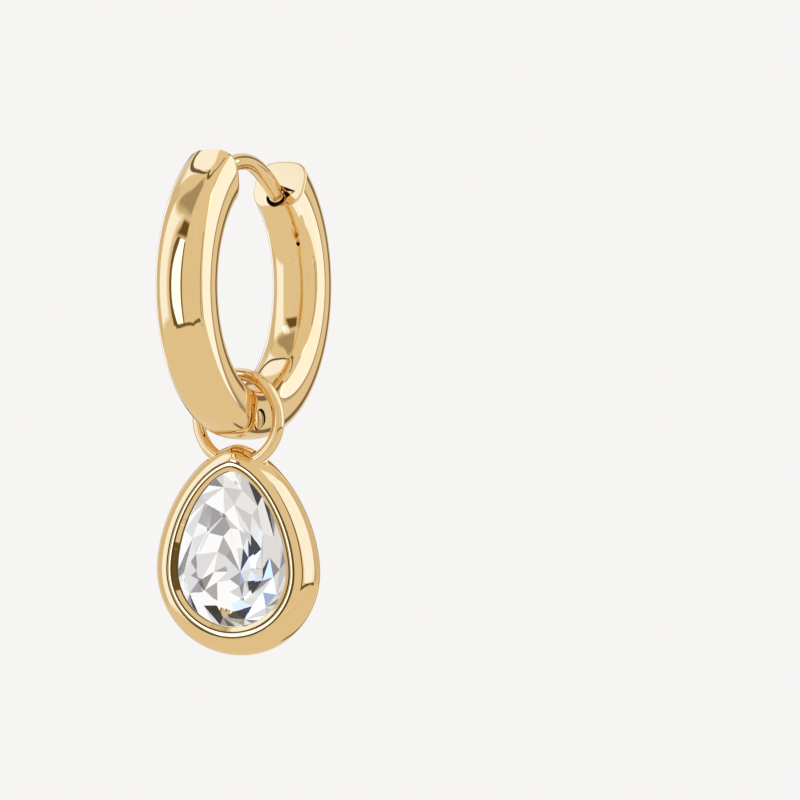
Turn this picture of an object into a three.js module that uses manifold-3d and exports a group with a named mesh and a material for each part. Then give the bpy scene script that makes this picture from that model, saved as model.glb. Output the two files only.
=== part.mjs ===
// Hinged hoop earring with a hanging teardrop crystal.
// Millimetres, +Z up. The hoop lies in the Y-Z plane, its near half toward -Y, and the drop faces -Y.
// The origin is on the ear post's centreline at its top, where the earring hangs from the ear.
import * as THREE from 'three';
import { mergeVertices } from 'three/addons/utils/BufferGeometryUtils.js';
import Module from 'manifold-3d';

const wasm = await Module();
wasm.setup();

// Hoop tube
const hoopOuterRadius = 8.02;
const hoopTubeWidth = 2.97;         // along X
const hoopTubeDepth = 2.72;         // along the hoop's radius
const hoopTubePower = 2.8;          // 2 is an ellipse, more is squarer
const frontEndAngle = 35;           // degrees from straight up toward -Y, where its rounding starts
const frontEndTilt = 8;             // the near end's face, degrees off upright
const frontTurnAngle = 52;          // where the near half's sections start to turn upright
const frontEndRounding = 0.45;
const backEndAngle = 37;            // degrees from straight up toward +Y
const backEndTilt = 26;             // the far end's face, degrees off upright

// Hinge at the bottom of the hoop
const hingeAngle = 10.5;             // degrees from straight down toward -Y
const hingePinDepth = 0.98;         // pin centre below the hoop's outer face
const hingePinRadius = 0.5;
const hingePinProud = 0.04;         // each domed end beyond the cheek
const hingePinDome = 0.14;
const hingeKnuckleRadius = 0.94;    // the back half's round nose about the pin
const hingeKnuckleGap = 0.12;       // from the nose to the front half's hollow
const hingeTongueWidth = 1.0;
const hingeTongueRadius = 0.82;
const hingeTongueWeb = 0.5;         // half height of the web that joins it to the near half
const hingeTongueRoot = 0.3;        // how deep the web starts in the near half
const hingeSideGap = 0.06;
const hingeBoreGap = 0.04;
const seamGap = 0.05;               // between the faces that stop the closing

// Ear post
const postWireDiameter = 0.86;
const postTopShare = 0.967;         // its top over the hoop's centre, as a share of the tube's radius
const postSocketDepth = 1.4;
const postSocketLean = 24;          // degrees off level
const postSocketGap = 0.03;
const postNeckRadius = 0.33;
const postNeckLength = 0.22;
const postTipLength = 0.5;
const postRoute = [                 // the wire past the near half, in shares of the tube's radius
  { along: -0.285, below: 0.038 },
  { along: -0.15, below: 0.007 },
  { along: 0, below: 0 },
  { along: 0.12, below: 0.018 },
  { along: 0.22, below: 0.052 },
  { along: 0.315, below: 0.1 },
  { along: 0.413, below: 0.16 },
  { along: 0.503, below: 0.226 },
];
const catchGap = 0.13;              // round the post's tip in the catch
const catchRadius = 0.6;
const catchDepth = 1.35;
const catchNotchReach = 1.05;       // its point, toward +X from the catch's centre
const catchNotchWidth = 0.75;
const catchNotchDepth = 0.5;

// Jump ring
const ringOuterDiameter = 5.3;
const ringWireDiameter = 0.66;
const ringClearAboveTube = 0.3;     // between the ring's top and the tube's inner face
const ringPlaneY = -0.92;

// Drop setting, a teardrop seen from -Y
const dropWidth = 9.36;
const dropUp = 6.53;                // from its widest level to the apex
const dropDown = 4.44;              // from its widest level to the bottom
const dropApexAboveWire = 1.0;      // apex above the ring's lowest wire centre
const dropUpperFullness = 0.62;
const dropUpperRise = 1.8;
const dropTunnelGap = 0.09;         // round the ring's wire
const dropSwing = 35;               // degrees the tunnel leaves free each way
const dropFrontY = -1.9;            // the rim's ridge
const dropBackY = 0.36;             // the flat back
const dropApexBackShare = 0.55;     // depth behind the widest section at the apex, over that lower down
const dropWidestShare = 0.45;       // the widest section's place from the ridge to the back
const rimInset = 1.13;              // the ridge inside the greatest outline
const rimApexShare = 0.88;          // the same inset at the apex, over that at the sides
const rimLip = 0.38;                // the bevel between the ridge and the crystal
const rimLipDepth = 0.12;
const rimRounding = 0.06;           // the ridge's narrow flat, as a share of the inset each way
const seatWall = 0.2;               // the pocket's upright wall under the seat
const pocketNarrowing = 0.9;        // from the seat to the pocket's floor
const pocketDepth = 1.75;           // from the ridge down to the pocket's floor

// Crystal
const crystalGap = 0.05;
const crystalCrownHeight = 0.55;
const crystalGirdle = 0.12;
const crystalTableShare = 0.56;     // table size over girdle size
const crystalCuletAbove = 0.12;     // culet over the pocket's floor

// Fineness of round shapes
const tubeSides = 24;
const hoopSteps = 80;
const wireSides = 12;
const ringSteps = 40;
const outlineSteps = 48;
const boreSides = 24;

const degrees = THREE.MathUtils.degToRad;
const tubeHalfWidth = hoopTubeWidth / 2;
const tubeHalfDepth = hoopTubeDepth / 2;
const tubeCentreRadius = hoopOuterRadius - tubeHalfDepth;
const hoopTopBelowOrigin = postTopShare * tubeCentreRadius;
const hoopCentreZ = -hoopTopBelowOrigin;
const wireRadius = ringWireDiameter / 2;
const ringRadius = (ringOuterDiameter - ringWireDiameter) / 2;
const postRadius = postWireDiameter / 2;
const pinRadiusFromCentre = hoopOuterRadius - hingePinDepth;
const pinY = -pinRadiusFromCentre * Math.sin(degrees(hingeAngle));
const pinZ = -pinRadiusFromCentre * Math.cos(degrees(hingeAngle));
const hollowRadius = hingeKnuckleRadius + hingeKnuckleGap;
const beyond = hoopOuterRadius * 1.5;   // safely outside the hoop

const gold = new THREE.MeshStandardMaterial({ color: 0xdcb878, roughness: 0.14, metalness: 1 });
const goldDark = new THREE.MeshStandardMaterial({ color: 0xcfa866, roughness: 0.18, metalness: 1 });
const crystalClear = new THREE.MeshStandardMaterial({ color: 0xeef1f5, roughness: 0.03, metalness: 0 });

// A closed geometry becomes a solid; a surface wound inside out is turned first.
function solidOf(geometry) {
  const bare = geometry.index ? geometry.toNonIndexed() : geometry.clone();
  bare.deleteAttribute('normal');
  bare.deleteAttribute('uv');
  const merged = mergeVertices(bare, 1e-5);
  const triVerts = Uint32Array.from(merged.index.array);
  const vertProperties = Float32Array.from(merged.attributes.position.array);
  const solid = new wasm.Manifold(new wasm.Mesh({ numProp: 3, vertProperties, triVerts }));
  if (solid.volume() > 0) return solid;
  for (let i = 0; i < triVerts.length; i += 3) {
    [triVerts[i + 1], triVerts[i + 2]] = [triVerts[i + 2], triVerts[i + 1]];
  }
  return new wasm.Manifold(new wasm.Mesh({ numProp: 3, vertProperties, triVerts }));
}

function geometryOf(solid) {
  const { vertProperties, triVerts } = solid.getMesh();
  const geometry = new THREE.BufferGeometry();
  geometry.setAttribute('position', new THREE.BufferAttribute(vertProperties, 3));
  geometry.setIndex(new THREE.BufferAttribute(triVerts, 1));
  return geometry;
}

function namedMesh(name, solid, material) {
  const mesh = new THREE.Mesh(geometryOf(solid), material);
  mesh.name = name;
  return mesh;
}

// A closed surface through rings of points [x, y, z], the first and last ring capped. Rings may
// hold different numbers of points, a ring of one point is a tip, and a ring's phase turns its
// points by that share of a step.
function loftRings(rings) {
  const starts = [];
  let total = 0;
  for (const ring of rings) {
    starts.push(total);
    total += ring.length;
  }
  const faces = [];
  for (let k = 0; k + 1 < rings.length; k++) {
    const [a, b] = [rings[k], rings[k + 1]];
    const corner = (ring, n) => starts[ring] + n % rings[ring].length;
    let i = 0;
    let j = 0;
    while ((a.length > 1 && i < a.length) || (b.length > 1 && j < b.length)) {
      const nextA = a.length > 1 && i < a.length ? (i + 1 + (a.phase ?? 0)) / a.length : Infinity;
      const nextB = b.length > 1 && j < b.length ? (j + 1 + (b.phase ?? 0)) / b.length : Infinity;
      const third = nextA <= nextB ? corner(k, i + 1) : corner(k + 1, j + 1);
      faces.push(corner(k, i), corner(k + 1, j), third);
      if (nextA <= nextB) i += 1;
      else j += 1;
    }
  }
  const cap = (ring, i, turned) => {
    const corners = [starts[ring], starts[ring] + i, starts[ring] + i + 1];
    faces.push(...(turned ? corners.reverse() : corners));
  };
  const last = rings.length - 1;
  for (let i = 1; i + 1 < rings[0].length; i++) cap(0, i, false);
  for (let i = 1; i + 1 < rings[last].length; i++) cap(last, i, true);
  const geometry = new THREE.BufferGeometry();
  geometry.setAttribute('position', new THREE.Float32BufferAttribute(rings.flat(2), 3));
  geometry.setIndex(faces);
  return geometry;
}

// Turns a geometry's own x, y, z into the earring's Y, Z, X.
const sideways = new THREE.Matrix4().makeBasis(
  new THREE.Vector3(0, 1, 0), new THREE.Vector3(0, 0, 1), new THREE.Vector3(1, 0, 0));

// A flat outline in the Y-Z plane made into a solid from -halfWidth to +halfWidth along X.
function slabAlongX(outline, halfWidth) {
  const shape = new THREE.Shape(outline.map(([y, z]) => new THREE.Vector2(y, z)));
  const slab = new THREE.ExtrudeGeometry(shape, { depth: 2 * halfWidth, bevelEnabled: false });
  slab.translate(0, 0, -halfWidth);
  return solidOf(slab.applyMatrix4(sideways));
}

// Points on a circle in the Y-Z plane; angles in degrees from +Y toward +Z.
function arcPoints(centreY, centreZ, radius, from, to, steps) {
  return Array.from({ length: steps + 1 }, (_, i) => {
    const angle = degrees(from + (to - from) * i / steps);
    return [centreY + radius * Math.cos(angle), centreZ + radius * Math.sin(angle)];
  });
}

function rodAlongX(y, z, radius, halfLength) {
  return slabAlongX(arcPoints(y, z, radius, 0, 360 * (1 - 1 / boreSides), boreSides - 1), halfLength);
}

// A point of the hoop's plane from the angle off straight up, toward +Y.
function onHoop(angle, radius) {
  return [radius * Math.sin(degrees(angle)), radius * Math.cos(degrees(angle))];
}

// One section of the hoop tube at an angle off straight up. Its plane leans by tilt, in degrees off
// upright; a radial plane has the angle itself as its tilt. inset draws it in, past shifts it off
// its plane.
function tubeSection(angle, tilt = angle, inset = 0, past = 0) {
  const [centreY, centreZ] = onHoop(angle, tubeCentreRadius);
  const [outY, outZ] = onHoop(tilt, 1);
  const halfDepth = tubeHalfDepth / Math.cos(degrees(tilt - angle));
  const reach = (v) => Math.sign(v) * Math.abs(v) ** (2 / hoopTubePower);
  return Array.from({ length: tubeSides }, (_, i) => {
    const t = 2 * Math.PI * i / tubeSides;
    const out = (halfDepth - inset) * reach(Math.sin(t));
    const across = (tubeHalfWidth - inset) * reach(Math.cos(t));
    return [across, centreY + out * outY + past * outZ, centreZ + out * outZ - past * outY];
  });
}

// Radial sections round part of the hoop's circle.
function circleSections(from, to) {
  const steps = Math.round(hoopSteps * Math.abs(to - from) / 360);
  return Array.from({ length: steps + 1 }, (_, i) => tubeSection(from + (to - from) * i / steps));
}

// The near half's sections: the circle, then planes that turn upright, then the rounded end.
function frontSections() {
  const sections = circleSections(-200, -frontTurnAngle);
  for (const share of [0.25, 0.5, 0.75]) {
    const angle = frontTurnAngle + (frontEndAngle - frontTurnAngle) * share;
    const tilt = frontTurnAngle + (frontEndTilt - frontTurnAngle) * share;
    sections.push(tubeSection(-angle, -tilt));
  }
  for (const turn of [0, 22, 44, 66, 88]) {
    const past = frontEndRounding * Math.sin(degrees(turn));
    const inset = frontEndRounding * (1 - Math.cos(degrees(turn)));
    sections.push(tubeSection(-frontEndAngle, -frontEndTilt, inset, past));
  }
  return sections;
}

// The ear post's centreline in the hoop's plane, from the bottom of its socket to its neck.
function postCurve(deeper = 0) {
  const [endY, endZ] = onHoop(-frontEndAngle, tubeCentreRadius);
  const [leanY, leanZ] = onHoop(90 - postSocketLean, postSocketDepth + deeper);
  const route = [
    [endY - leanY, endZ - leanZ],
    [endY - leanY / 2, endZ - leanZ / 2],
    [endY, endZ],
    ...postRoute.map(({ along, below }) => [
      along * tubeCentreRadius, hoopTopBelowOrigin - below * tubeCentreRadius]),
  ];
  return new THREE.CatmullRomCurve3(route.map(([y, z]) => new THREE.Vector3(0, y, z)), false, 'centripetal');
}

// The post's wire with its neck and rounded tip; extra makes it fatter, for the holes that hold it.
function earPost(extra = 0) {
  const curve = postCurve(extra);
  const section = new THREE.Shape(Array.from({ length: wireSides }, (_, i) => {
    const t = 2 * Math.PI * i / wireSides;
    return new THREE.Vector2((postRadius + extra) * Math.cos(t), (postRadius + extra) * Math.sin(t));
  }));
  const wire = solidOf(new THREE.ExtrudeGeometry(section, { steps: 30, extrudePath: curve }));
  const end = curve.getPoint(1);
  const heading = curve.getTangent(1);
  const reach = postNeckLength + postTipLength;
  const neck = (extra > 0 ? postRadius : postNeckRadius) + extra;
  const tipRadius = postRadius + extra;
  const profile = [
    [0, -0.1], [neck, -0.1], [neck, postNeckLength], [tipRadius, postNeckLength + 0.05],
    [tipRadius, reach - 0.16], [tipRadius * 0.72, reach + extra], [0, reach + extra],
  ].map(([r, h]) => new THREE.Vector2(r, h));
  const tip = new THREE.LatheGeometry(profile, wireSides);
  const turn = new THREE.Quaternion().setFromUnitVectors(new THREE.Vector3(0, 1, 0), heading);
  tip.applyQuaternion(turn).translate(end.x, end.y, end.z);
  return wire.add(solidOf(tip));
}

// A solid in the hoop's frame, turned about the hinge pin; positive opens the back half.
function turnedAboutPin(solid, angle) {
  return solid.translate([0, -pinY, -pinZ]).rotate([-angle, 0, 0]).translate([0, pinY, pinZ]);
}

// The near half: tube, hollow for the knuckle, tongue on the pin and socket for the post.
function hoopFront() {
  const seamY = pinY - hollowRadius;
  const keep = slabAlongX([
    [0, pinZ / 2],
    [0, beyond],
    [-beyond, beyond],
    [-beyond, -beyond],
    [pinY, -beyond],
    ...arcPoints(pinY, pinZ, hollowRadius, 270, 180, 16),
    [seamY, pinZ / 2],
  ], tubeHalfWidth * 1.2);
  const tongue = slabAlongX([
    ...arcPoints(pinY, pinZ, hingeTongueRadius, -130, 130, 20),
    [seamY - hingeTongueRoot, pinZ + hingeTongueWeb],
    [seamY - hingeTongueRoot, pinZ - hingeTongueWeb],
  ], hingeTongueWidth / 2);
  const bore = rodAlongX(pinY, pinZ, hingePinRadius + hingeBoreGap, tubeHalfWidth * 1.2);
  const socket = earPost(postSocketGap);
  return solidOf(loftRings(frontSections())).intersect(keep).add(tongue).subtract(bore).subtract(socket);
}

// The far half: tube with a round nose about the pin, a slot for the tongue and the catch.
function hoopBack() {
  const seamY = pinY - hollowRadius + seamGap;
  const keep = slabAlongX([
    onBackEnd(-tubeCentreRadius),
    [seamY, pinZ / 2],
    [seamY, pinZ + hingeKnuckleRadius / 2],
    ...arcPoints(pinY, pinZ, hingeKnuckleRadius, 165, 275, 16),
    [pinY + hingeKnuckleRadius / 3, -beyond],
    [beyond, -beyond],
    [beyond, beyond],
    onBackEnd(beyond / 2),
  ], tubeHalfWidth * 1.2);
  const roof = pinZ + hingeTongueRadius + hingeSideGap;
  const slot = slabAlongX([
    ...arcPoints(pinY, pinZ, hingeTongueRadius + hingeSideGap, -90, 90, 16),
    [pinY - beyond, roof],
    [pinY - beyond, -beyond],
    [pinY, -beyond],
  ], hingeTongueWidth / 2 + hingeSideGap);
  const bore = rodAlongX(pinY, pinZ, hingePinRadius + hingeBoreGap, tubeHalfWidth * 1.2);
  const tube = solidOf(loftRings(circleSections(200, backEndAngle - backEndTilt)));
  return tube.intersect(keep).subtract(slot).subtract(bore).subtract(catchHole());
}

// A point of the far end's face, outward from its middle.
function onBackEnd(outward) {
  const [middleY, middleZ] = onHoop(backEndAngle, tubeCentreRadius);
  const [outY, outZ] = onHoop(backEndTilt, outward);
  return [middleY + outY, middleZ + outZ];
}

// How far outward on the far end's face the post's axis meets it.
function postMeetsBackEnd() {
  const curve = postCurve();
  const [end, heading] = [curve.getPoint(1), curve.getTangent(1)];
  const [middleY, middleZ] = onBackEnd(0);
  const [outY, outZ] = onHoop(backEndTilt, 1);
  const [awayY, awayZ] = [-outZ, outY];
  const travel = ((middleY - end.y) * awayY + (middleZ - end.z) * awayZ)
    / (heading.y * awayY + heading.z * awayZ);
  return (end.y + heading.y * travel - middleY) * outY + (end.z + heading.z * travel - middleZ) * outZ;
}

// The catch: a drilled hole with a side notch, freed along the post's path as the hoop opens.
function catchHole() {
  const turn = degrees(-backEndTilt);
  const place = onBackEnd(postMeetsBackEnd());
  const drill = new THREE.CylinderGeometry(catchRadius, catchRadius, 2 * catchDepth, boreSides);
  drill.rotateX(turn).translate(0, ...place);
  const corner = new THREE.Shape([
    new THREE.Vector2(0, catchNotchWidth * 0.9),
    new THREE.Vector2(0, -catchNotchWidth * 0.6),
    new THREE.Vector2(catchRadius, -catchNotchWidth * 0.15),
    new THREE.Vector2(catchNotchReach, catchNotchWidth * 0.4),
  ]);
  const notch = new THREE.ExtrudeGeometry(corner, { depth: 2 * catchNotchDepth, bevelEnabled: false });
  notch.translate(0, 0, -catchNotchDepth).rotateX(Math.PI / 2).rotateX(turn);
  notch.translate(0, ...place);
  let hole = solidOf(drill).add(solidOf(notch));
  const post = earPost(catchGap);
  for (const angle of [0, 1.5, 3, 4.5, 6, 8]) {
    hole = hole.add(turnedAboutPin(post, -angle));
  }
  return hole;
}

function hingePin() {
  const halfLength = tubeHalfWidth + hingePinProud;
  const dome = [0, 30, 60, 90].map((angle) => [
    hingePinRadius * Math.sin(degrees(angle)),
    halfLength - hingePinDome * (1 - Math.cos(degrees(angle))),
  ]);
  const profile = [
    ...dome.map(([r, h]) => new THREE.Vector2(r, -h)),
    ...dome.map(([r, h]) => new THREE.Vector2(r, h)).reverse(),
  ];
  const pin = new THREE.LatheGeometry(profile, boreSides);
  pin.rotateZ(-Math.PI / 2).translate(0, pinY, pinZ);
  return solidOf(pin);
}

// The jump ring's centre under the tube's inner face, in the earring's frame.
const tubeInnerRadius = hoopOuterRadius - hoopTubeDepth;
const tubeFloorZ = hoopCentreZ - Math.sqrt(tubeInnerRadius ** 2 - ringPlaneY ** 2);
const ringCentreZ = tubeFloorZ + ringClearAboveTube - (ringRadius - wireRadius);
const ringBottomZ = ringCentreZ - ringRadius;

function jumpRing(extra = 0) {
  const ring = new THREE.TorusGeometry(ringRadius, wireRadius + extra, wireSides, ringSteps);
  ring.rotateX(Math.PI / 2).translate(0, ringPlaneY, ringCentreZ);
  return solidOf(ring);
}

// One ring of the drop at depth y, drawn in from the greatest outline by inset and scaled by share.
// Behind its widest section the body grows thinner toward the apex.
function dropRing(y, inset, steps, share = 1) {
  return Array.from({ length: steps }, (_, i) => {
    const t = 2 * Math.PI * i / steps;
    const side = Math.cos(t);
    const rise = Math.sin(t);
    const halfWidth = (dropWidth / 2 - inset) * share;
    if (rise < 0) return [halfWidth * side, y, dropWidestZ + (dropDown - inset) * share * rise];
    const x = halfWidth * Math.sign(side) * Math.abs(side) ** (2 * dropUpperFullness);
    const z = (dropUp - inset * rimApexShare) * share * rise ** (2 / dropUpperRise);
    const thin = 1 - (1 - dropApexBackShare) * (z / dropUp) ** 3;
    const behind = Math.max(y - dropWidestY, 0);
    return [x, y - behind * (1 - thin), dropWidestZ + z];
  });
}

const dropWidestZ = ringBottomZ + dropApexAboveWire - dropUp;
const dropWidestY = dropFrontY + (dropBackY - dropFrontY) * dropWidestShare;
const seatInset = rimInset + rimLip;
const seatY = dropFrontY + rimLipDepth;
const pocketFloorY = dropFrontY + pocketDepth;

// The setting's section from the pocket's floor over the rim and round the body to the back.
// level is a share of the way from the ridge to the flat back, inset a share of rimInset.
const bodySections = [
  { level: 0.0, inset: 1 - rimRounding },
  { level: 0.035, inset: 0.8 },
  { level: 0.1, inset: 0.52 },
  { level: 0.2, inset: 0.2 },
  { level: 0.31, inset: 0.035 },
  { level: 0.41, inset: 0.0 },
  { level: 0.53, inset: 0.06 },
  { level: 0.66, inset: 0.25 },
  { level: 0.79, inset: 0.62 },
  { level: 0.91, inset: 1.15 },
  { level: 1.0, inset: 1.9 },
];

function dropSetting() {
  const rings = [
    dropRing(pocketFloorY, seatInset + pocketNarrowing, outlineSteps),
    dropRing(seatY + seatWall, seatInset, outlineSteps),
    dropRing(seatY, seatInset, outlineSteps),
    dropRing(dropFrontY, rimInset * (1 + rimRounding), outlineSteps),
    ...bodySections.map(({ level, inset }) => dropRing(
      dropFrontY + (dropBackY - dropFrontY) * level, rimInset * inset, outlineSteps)),
  ];
  const wire = jumpRing(dropTunnelGap);
  let solid = solidOf(loftRings(rings));
  for (let angle = -dropSwing; angle <= dropSwing; angle += dropSwing / 2) {
    solid = solid.subtract(wire.translate([0, -ringPlaneY, -ringBottomZ])
      .rotate([angle, 0, 0]).translate([0, ringPlaneY, ringBottomZ]));
  }
  return solid;
}

// The cut stone: a table, star and girdle facets over a many-sided pavilion that ends in a culet.
function crystal() {
  const girdleInset = seatInset + crystalGap;
  const girdleY = seatY + crystalGap;
  const ring = (y, share, steps) => dropRing(y, girdleInset, steps, share);
  const turned = (y, share, steps) => Object.assign(
    ring(y, share, steps * 2).filter((_, i) => i % 2 === 1), { phase: 0.5 });
  const tableY = girdleY - crystalCrownHeight;
  const culetY = pocketFloorY - crystalCuletAbove;
  const facets = 16;
  const pavilion = culetY - girdleY - crystalGirdle;
  const rings = [
    ring(tableY, crystalTableShare, facets / 2),
    turned(tableY + crystalCrownHeight * 0.45, 0.8, facets / 2),
    ring(girdleY, 1, facets * 2),
    ring(girdleY + crystalGirdle, 1, facets * 2),
    turned(girdleY + crystalGirdle + pavilion * 0.5, 0.52, facets / 2),
    [[0, culetY, dropWidestZ]],
  ];
  return solidOf(loftRings(rings));
}

const hoop = new THREE.Group();
hoop.position.z = hoopCentreZ;
hoop.add(
  namedMesh('hoop_front', hoopFront(), gold),
  namedMesh('hoop_back', hoopBack(), gold),
  namedMesh('ear_post', earPost(), gold),
  namedMesh('hinge_pin', hingePin(), goldDark),
);

const group = new THREE.Group();
group.add(
  hoop,
  namedMesh('jump_ring', jumpRing(), gold),
  namedMesh('drop_setting', dropSetting(), gold),
  namedMesh('crystal', crystal(), crystalClear),
);

export default group;
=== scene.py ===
"""The looks of a hinged hoop earring with a hanging teardrop crystal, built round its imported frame.

Shapes are worked out in millimetres in the frame's own axes and scaled to metres at the end.
"""

import math
import random
import typing

import bmesh
import bpy
from bpy.props import FloatProperty, FloatVectorProperty, IntProperty, PointerProperty
from mathutils import Matrix, Quaternion, Vector


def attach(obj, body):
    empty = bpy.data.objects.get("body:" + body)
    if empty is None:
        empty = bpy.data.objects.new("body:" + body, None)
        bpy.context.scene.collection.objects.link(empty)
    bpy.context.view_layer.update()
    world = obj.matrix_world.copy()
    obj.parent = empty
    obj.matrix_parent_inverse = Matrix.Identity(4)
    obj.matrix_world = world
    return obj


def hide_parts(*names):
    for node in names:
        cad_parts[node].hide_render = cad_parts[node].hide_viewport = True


bl_info = {
    "name": "Teardrop Hoop Earring",
    "version": (1, 0, 0),
    "blender": (4, 5, 0),
    "location": "View3D > Sidebar > Earring",
    "description": "Builds a polished hinged hoop earring with a hanging teardrop crystal",
    "category": "Object",
}

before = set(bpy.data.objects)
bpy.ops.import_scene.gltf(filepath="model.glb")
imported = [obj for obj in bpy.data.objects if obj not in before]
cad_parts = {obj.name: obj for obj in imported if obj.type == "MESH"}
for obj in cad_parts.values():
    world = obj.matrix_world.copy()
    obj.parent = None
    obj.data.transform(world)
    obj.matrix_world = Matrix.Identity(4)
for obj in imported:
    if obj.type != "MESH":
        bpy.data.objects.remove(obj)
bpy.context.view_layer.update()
MILLIMETRE = 0.001

FRONT_BODY = "hoop_front_body"
BACK_BODY = "hoop_back_body"
RING_BODY = "ring_body"
DROP_BODY = "drop_body"
GOLD_PLATE = "mirror_gold_plate"
SHADED_GOLD = "shaded_gold"


def length(name, description, default):
    """A length property whose default is given in millimetres."""
    return FloatProperty(
        name=name, description=description, default=default * MILLIMETRE,
        min=0.0, unit="LENGTH", precision=5,
    )


def colour(name, description, default):
    """A colour property in linear light."""
    return FloatVectorProperty(
        name=name, description=description, default=default, subtype="COLOR", min=0.0, max=1.0,
    )


def share(name, description, default):
    """A plain number property."""
    return FloatProperty(name=name, description=description, default=default, precision=3)


class HoopSizes(bpy.types.PropertyGroup):
    """Sizes of the two hoop halves and their hinge."""

    outer_radius: length("Outer radius", "From the hoop's centre to its outer face", 8.02)
    tube_width: length("Tube width", "Across the tube, along the hinge pin", 2.97)
    tube_depth: length("Tube depth", "Across the tube, along the hoop's radius", 2.72)
    squareness: share("Squareness", "2 is an elliptic tube, more is squarer", 2.8)
    top_share: share("Post height", "Post's top over the centre, in tube radii", 0.967)
    front_end: share("Near end", "Degrees off straight up where the near end's rounding starts", 35.0)
    front_tilt: share("Near end tilt", "The near end's face, degrees off upright", 8.0)
    front_turn: share("Near turn", "Degrees off straight up where sections start to turn", 52.0)
    front_round: length("Near end rounding", "Radius of the near end's edge", 0.45)
    back_end: share("Far end", "Degrees off straight up to the middle of the far end", 37.0)
    back_tilt: share("Far end tilt", "The far end's face, degrees off upright", 26.0)
    back_turn: share("Far turn", "Degrees off straight up where its sections start to turn", 45.0)
    back_round: length("Far end rounding", "Radius of the far end's edge", 0.1)
    pin_angle: share("Pin angle", "Degrees off straight down toward the front", 10.5)
    pin_depth: length("Pin depth", "Pin centre under the outer face", 0.98)
    pin_radius: length("Pin radius", "Radius of the hinge pin", 0.5)
    pin_proud: length("Pin proud", "Each pin end beyond the cheek", 0.04)
    pin_dome: length("Pin dome", "Height of the domed pin ends", 0.14)
    pin_sink: length("Pin sink", "Width and depth of the step round the pin's ends", 0.04)
    knuckle_radius: length("Knuckle radius", "The far half's round nose", 0.94)
    knuckle_gap: length("Knuckle gap", "Between the nose and the near half", 0.12)
    tongue_width: length("Tongue width", "The near half's tongue on the pin", 1.0)
    tongue_radius: length("Tongue radius", "Round end of the tongue", 0.82)
    tongue_web: length("Tongue web", "Half height of the tongue's root", 0.5)
    tongue_root: length("Tongue root", "How deep the root reaches into the near half", 0.3)
    side_gap: length("Side gap", "Between the tongue and the cheeks", 0.06)
    bore_gap: length("Bore gap", "Round the pin", 0.04)
    seam_gap: length("Seam gap", "Between the faces that stop the closing", 0.05)


class PostSizes(bpy.types.PropertyGroup):
    """Sizes of the ear post and its catch."""

    wire: length("Wire", "Diameter of the post", 0.86)
    socket_depth: length("Socket depth", "Post inside the near half", 1.4)
    socket_lean: share("Socket lean", "Degrees off level", 24.0)
    socket_gap: length("Socket gap", "Round the post in its socket", 0.03)
    neck_radius: length("Neck radius", "The groove behind the tip", 0.33)
    neck_length: length("Neck length", "Length of the groove", 0.22)
    tip_length: length("Tip length", "Length of the rounded tip", 0.5)
    tip_rounding: length("Tip rounding", "Radius of the tip's edge", 0.24)
    catch_radius: length("Catch radius", "The drilled hole in the far end", 0.6)
    catch_depth: length("Catch depth", "Depth of the hole", 1.35)
    catch_gap: length("Catch gap", "Round the post in the hole", 0.13)
    notch_reach: length("Notch reach", "The side notch, from the hole's centre", 1.05)
    notch_width: length("Notch width", "Across the side notch", 0.75)
    notch_depth: length("Notch depth", "Depth of the side notch", 0.5)


class DropSizes(bpy.types.PropertyGroup):
    """Sizes of the jump ring, the setting and the crystal."""

    ring_outer: length("Ring outside", "Outer diameter of the jump ring", 5.3)
    ring_wire: length("Ring wire", "Wire diameter of the jump ring", 0.66)
    ring_clear: length("Ring clearance", "Under the tube's inner face", 0.3)
    ring_forward: length("Ring forward", "Ring plane in front of the hoop's centre", 0.92)
    width: length("Drop width", "Greatest width of the setting", 9.36)
    up: length("Drop up", "From the widest level to the apex", 6.53)
    down: length("Drop down", "From the widest level to the bottom", 4.44)
    apex_above_wire: length("Apex over wire", "Apex above the ring's lowest wire", 1.0)
    fullness: share("Fullness", "How full the upper sides are", 0.62)
    rise: share("Rise", "How blunt the apex is", 1.8)
    tunnel_gap: length("Tunnel gap", "Round the ring's wire", 0.09)
    swing: share("Swing", "Degrees the tunnel leaves free each way", 35.0)
    front: length("Ridge forward", "The rim's ridge in front of the frame's origin", 1.9)
    back: length("Back", "The setting's back behind the frame's origin", 0.36)
    apex_back_share: share("Apex back share", "Back depth at the apex over the widest level's", 0.55)
    rim_inset: length("Rim inset", "The ridge inside the greatest outline", 1.13)
    rim_apex_share: share("Rim apex share", "The same inset at the apex, over the sides'", 0.88)
    rim_land: length("Rim land", "The ridge's narrow polished flat", 0.17)
    rim_groove: length("Rim groove", "Width and depth of the fine lines beside it", 0.09)
    rim_lip: length("Rim lip", "The bevel between the ridge and the crystal", 0.38)
    rim_lip_depth: length("Lip depth", "How deep the bevel goes", 0.12)
    seat_wall: length("Seat wall", "The pocket's upright wall", 0.2)
    pocket_depth: length("Pocket depth", "From the ridge to the pocket's floor", 1.75)
    pocket_narrowing: length("Pocket narrowing", "From the seat to the floor", 0.9)
    crystal_gap: length("Crystal gap", "Round the crystal's girdle", 0.05)
    crown: length("Crown", "Crystal's height over the girdle", 0.55)
    girdle: length("Girdle", "The crystal's upright edge", 0.12)
    table_share: share("Table", "Table size over girdle size", 0.56)
    culet_above: length("Culet", "Culet over the pocket's floor", 0.12)


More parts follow.
